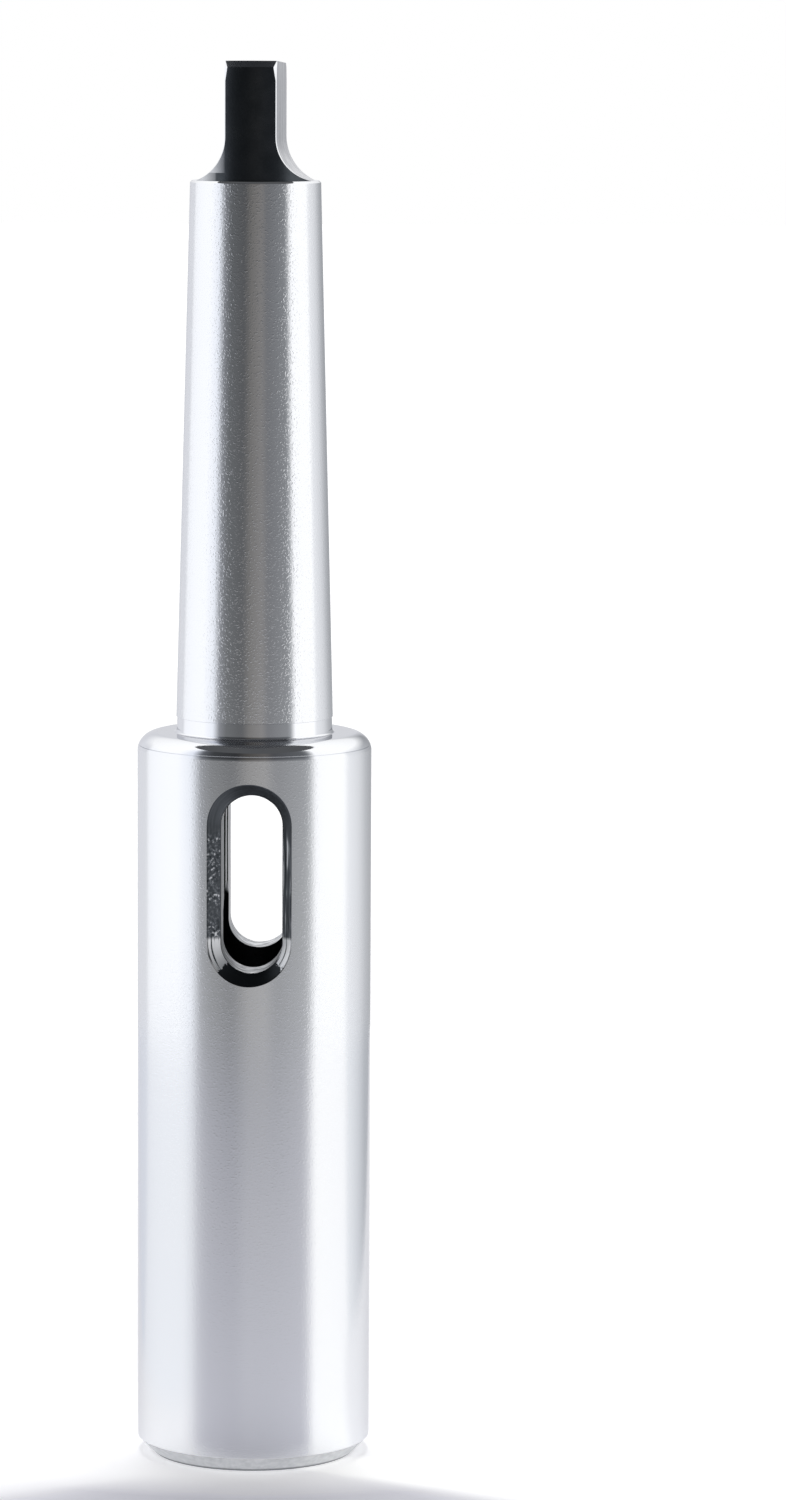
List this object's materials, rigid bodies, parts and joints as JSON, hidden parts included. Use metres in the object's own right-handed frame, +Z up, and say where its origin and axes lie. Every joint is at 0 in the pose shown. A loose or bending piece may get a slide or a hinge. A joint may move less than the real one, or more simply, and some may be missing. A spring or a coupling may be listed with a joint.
{
  "type": "morse taper extension socket",
  "caption": "Steel drill extension socket: tanged taper shank above a round body with a tapered socket and a bevelled through slot for a drift.",
  "frame": {"origin": "centre of the mouth face, on the axis", "axes": "+Z up the axis from the socket's mouth to the tang; the drift slot goes through along Y"},
  "size_m": [0.036, 0.036, 0.215],
  "materials": {
    "ground_steel": "hardened tool steel, ground bright, with black scale on the tang's narrow sides, the slot and the bore's end"
  },
  "bodies": {
    "root": {"extension_socket": "ground_steel"}
  },
  "joints": []
}
